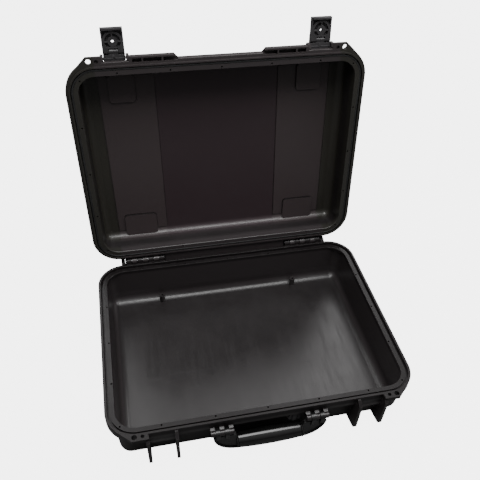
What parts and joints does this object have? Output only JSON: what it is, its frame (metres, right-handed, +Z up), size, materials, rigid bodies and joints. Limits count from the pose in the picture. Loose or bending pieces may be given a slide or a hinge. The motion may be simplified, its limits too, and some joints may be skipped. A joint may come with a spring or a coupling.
{
  "type": "hard equipment case",
  "caption": "Hard moulded equipment case standing open, with a hinged lid, lever latches with guard fins, a folding carry handle and a pressure valve.",
  "frame": {"origin": "middle of the flat underside of the base, at the level of what the case stands on", "axes": "+X to the right along the hinge, +Y to the back, where the hinges are, +Z up"},
  "size_m": [0.502, 0.4982, 0.5049],
  "materials": {
    "shell_plastic": "black moulded polypropylene with a fine satin texture",
    "latch_plastic": "black moulded nylon, satin",
    "handle_plastic": "black moulded nylon, semi-gloss",
    "grip_rubber": "smooth black soft-touch grip with a broad highlight",
    "seal_rubber": "black rubber seal",
    "pin_steel": "plain bright steel pins",
    "membrane": "white porous membrane"
  },
  "bodies": {
    "base": {"base_shell": "shell_plastic", "hinge_pin_left": "pin_steel", "hinge_pin_right": "pin_steel", "handle_pin_left": "pin_steel", "handle_pin_right": "pin_steel", "valve_body": "latch_plastic", "valve_seal": "seal_rubber", "valve_nut": "latch_plastic", "valve_membrane": "membrane"},
    "lid": {"lid_shell": "shell_plastic", "lid_gasket": "seal_rubber", "link_pin_left": "pin_steel", "link_pin_right": "pin_steel"},
    "handle": {"handle_frame": "handle_plastic", "handle_grip": "grip_rubber"},
    "valve_knob": {"valve_knob": "latch_plastic"},
    "latch_link_left": {"latch_link_left": "latch_plastic", "lever_pin_left": "pin_steel"},
    "latch_lever_left": {"latch_lever_left": "latch_plastic"},
    "latch_link_right": {"latch_link_right": "latch_plastic", "lever_pin_right": "pin_steel"},
    "latch_lever_right": {"latch_lever_right": "latch_plastic"}
  },
  "joints": [
    {"name": "lid_hinge", "type": "hinge", "parent": "base", "child": "lid", "pos_m": [0, 0.1918, 0.0855], "axis": [1, 0, 0], "range_deg": [0, 98.6]},
    {"name": "handle_fold", "type": "hinge", "parent": "base", "child": "handle", "pos_m": [0, -0.193, 0.065], "axis": [-1, 0, 0], "range_deg": [0, 95]},
    {"name": "valve_turn", "type": "hinge", "parent": "base", "child": "valve_knob", "pos_m": [0.042, -0.1745, 0.056], "axis": [0, -1, 0], "range_deg": [0, 180]},
    {"name": "latch_link_left_swing", "type": "hinge", "parent": "lid", "child": "latch_link_left", "pos_m": [-0.168, 0.25989, 0.45882], "axis": [1, 0, 0], "range_deg": [0, 76]},
    {"name": "latch_lever_left_swing", "type": "hinge", "parent": "latch_link_left", "child": "latch_lever_left", "pos_m": [-0.168, 0.26146, 0.4692], "axis": [1, 0, 0], "range_deg": [0, 14]},
    {"name": "latch_link_right_swing", "type": "hinge", "parent": "lid", "child": "latch_link_right", "pos_m": [0.168, 0.25989, 0.45882], "axis": [1, 0, 0], "range_deg": [0, 76]},
    {"name": "latch_lever_right_swing", "type": "hinge", "parent": "latch_link_right", "child": "latch_lever_right", "pos_m": [0.168, 0.26146, 0.4692], "axis": [1, 0, 0], "range_deg": [0, 14]}
  ]
}
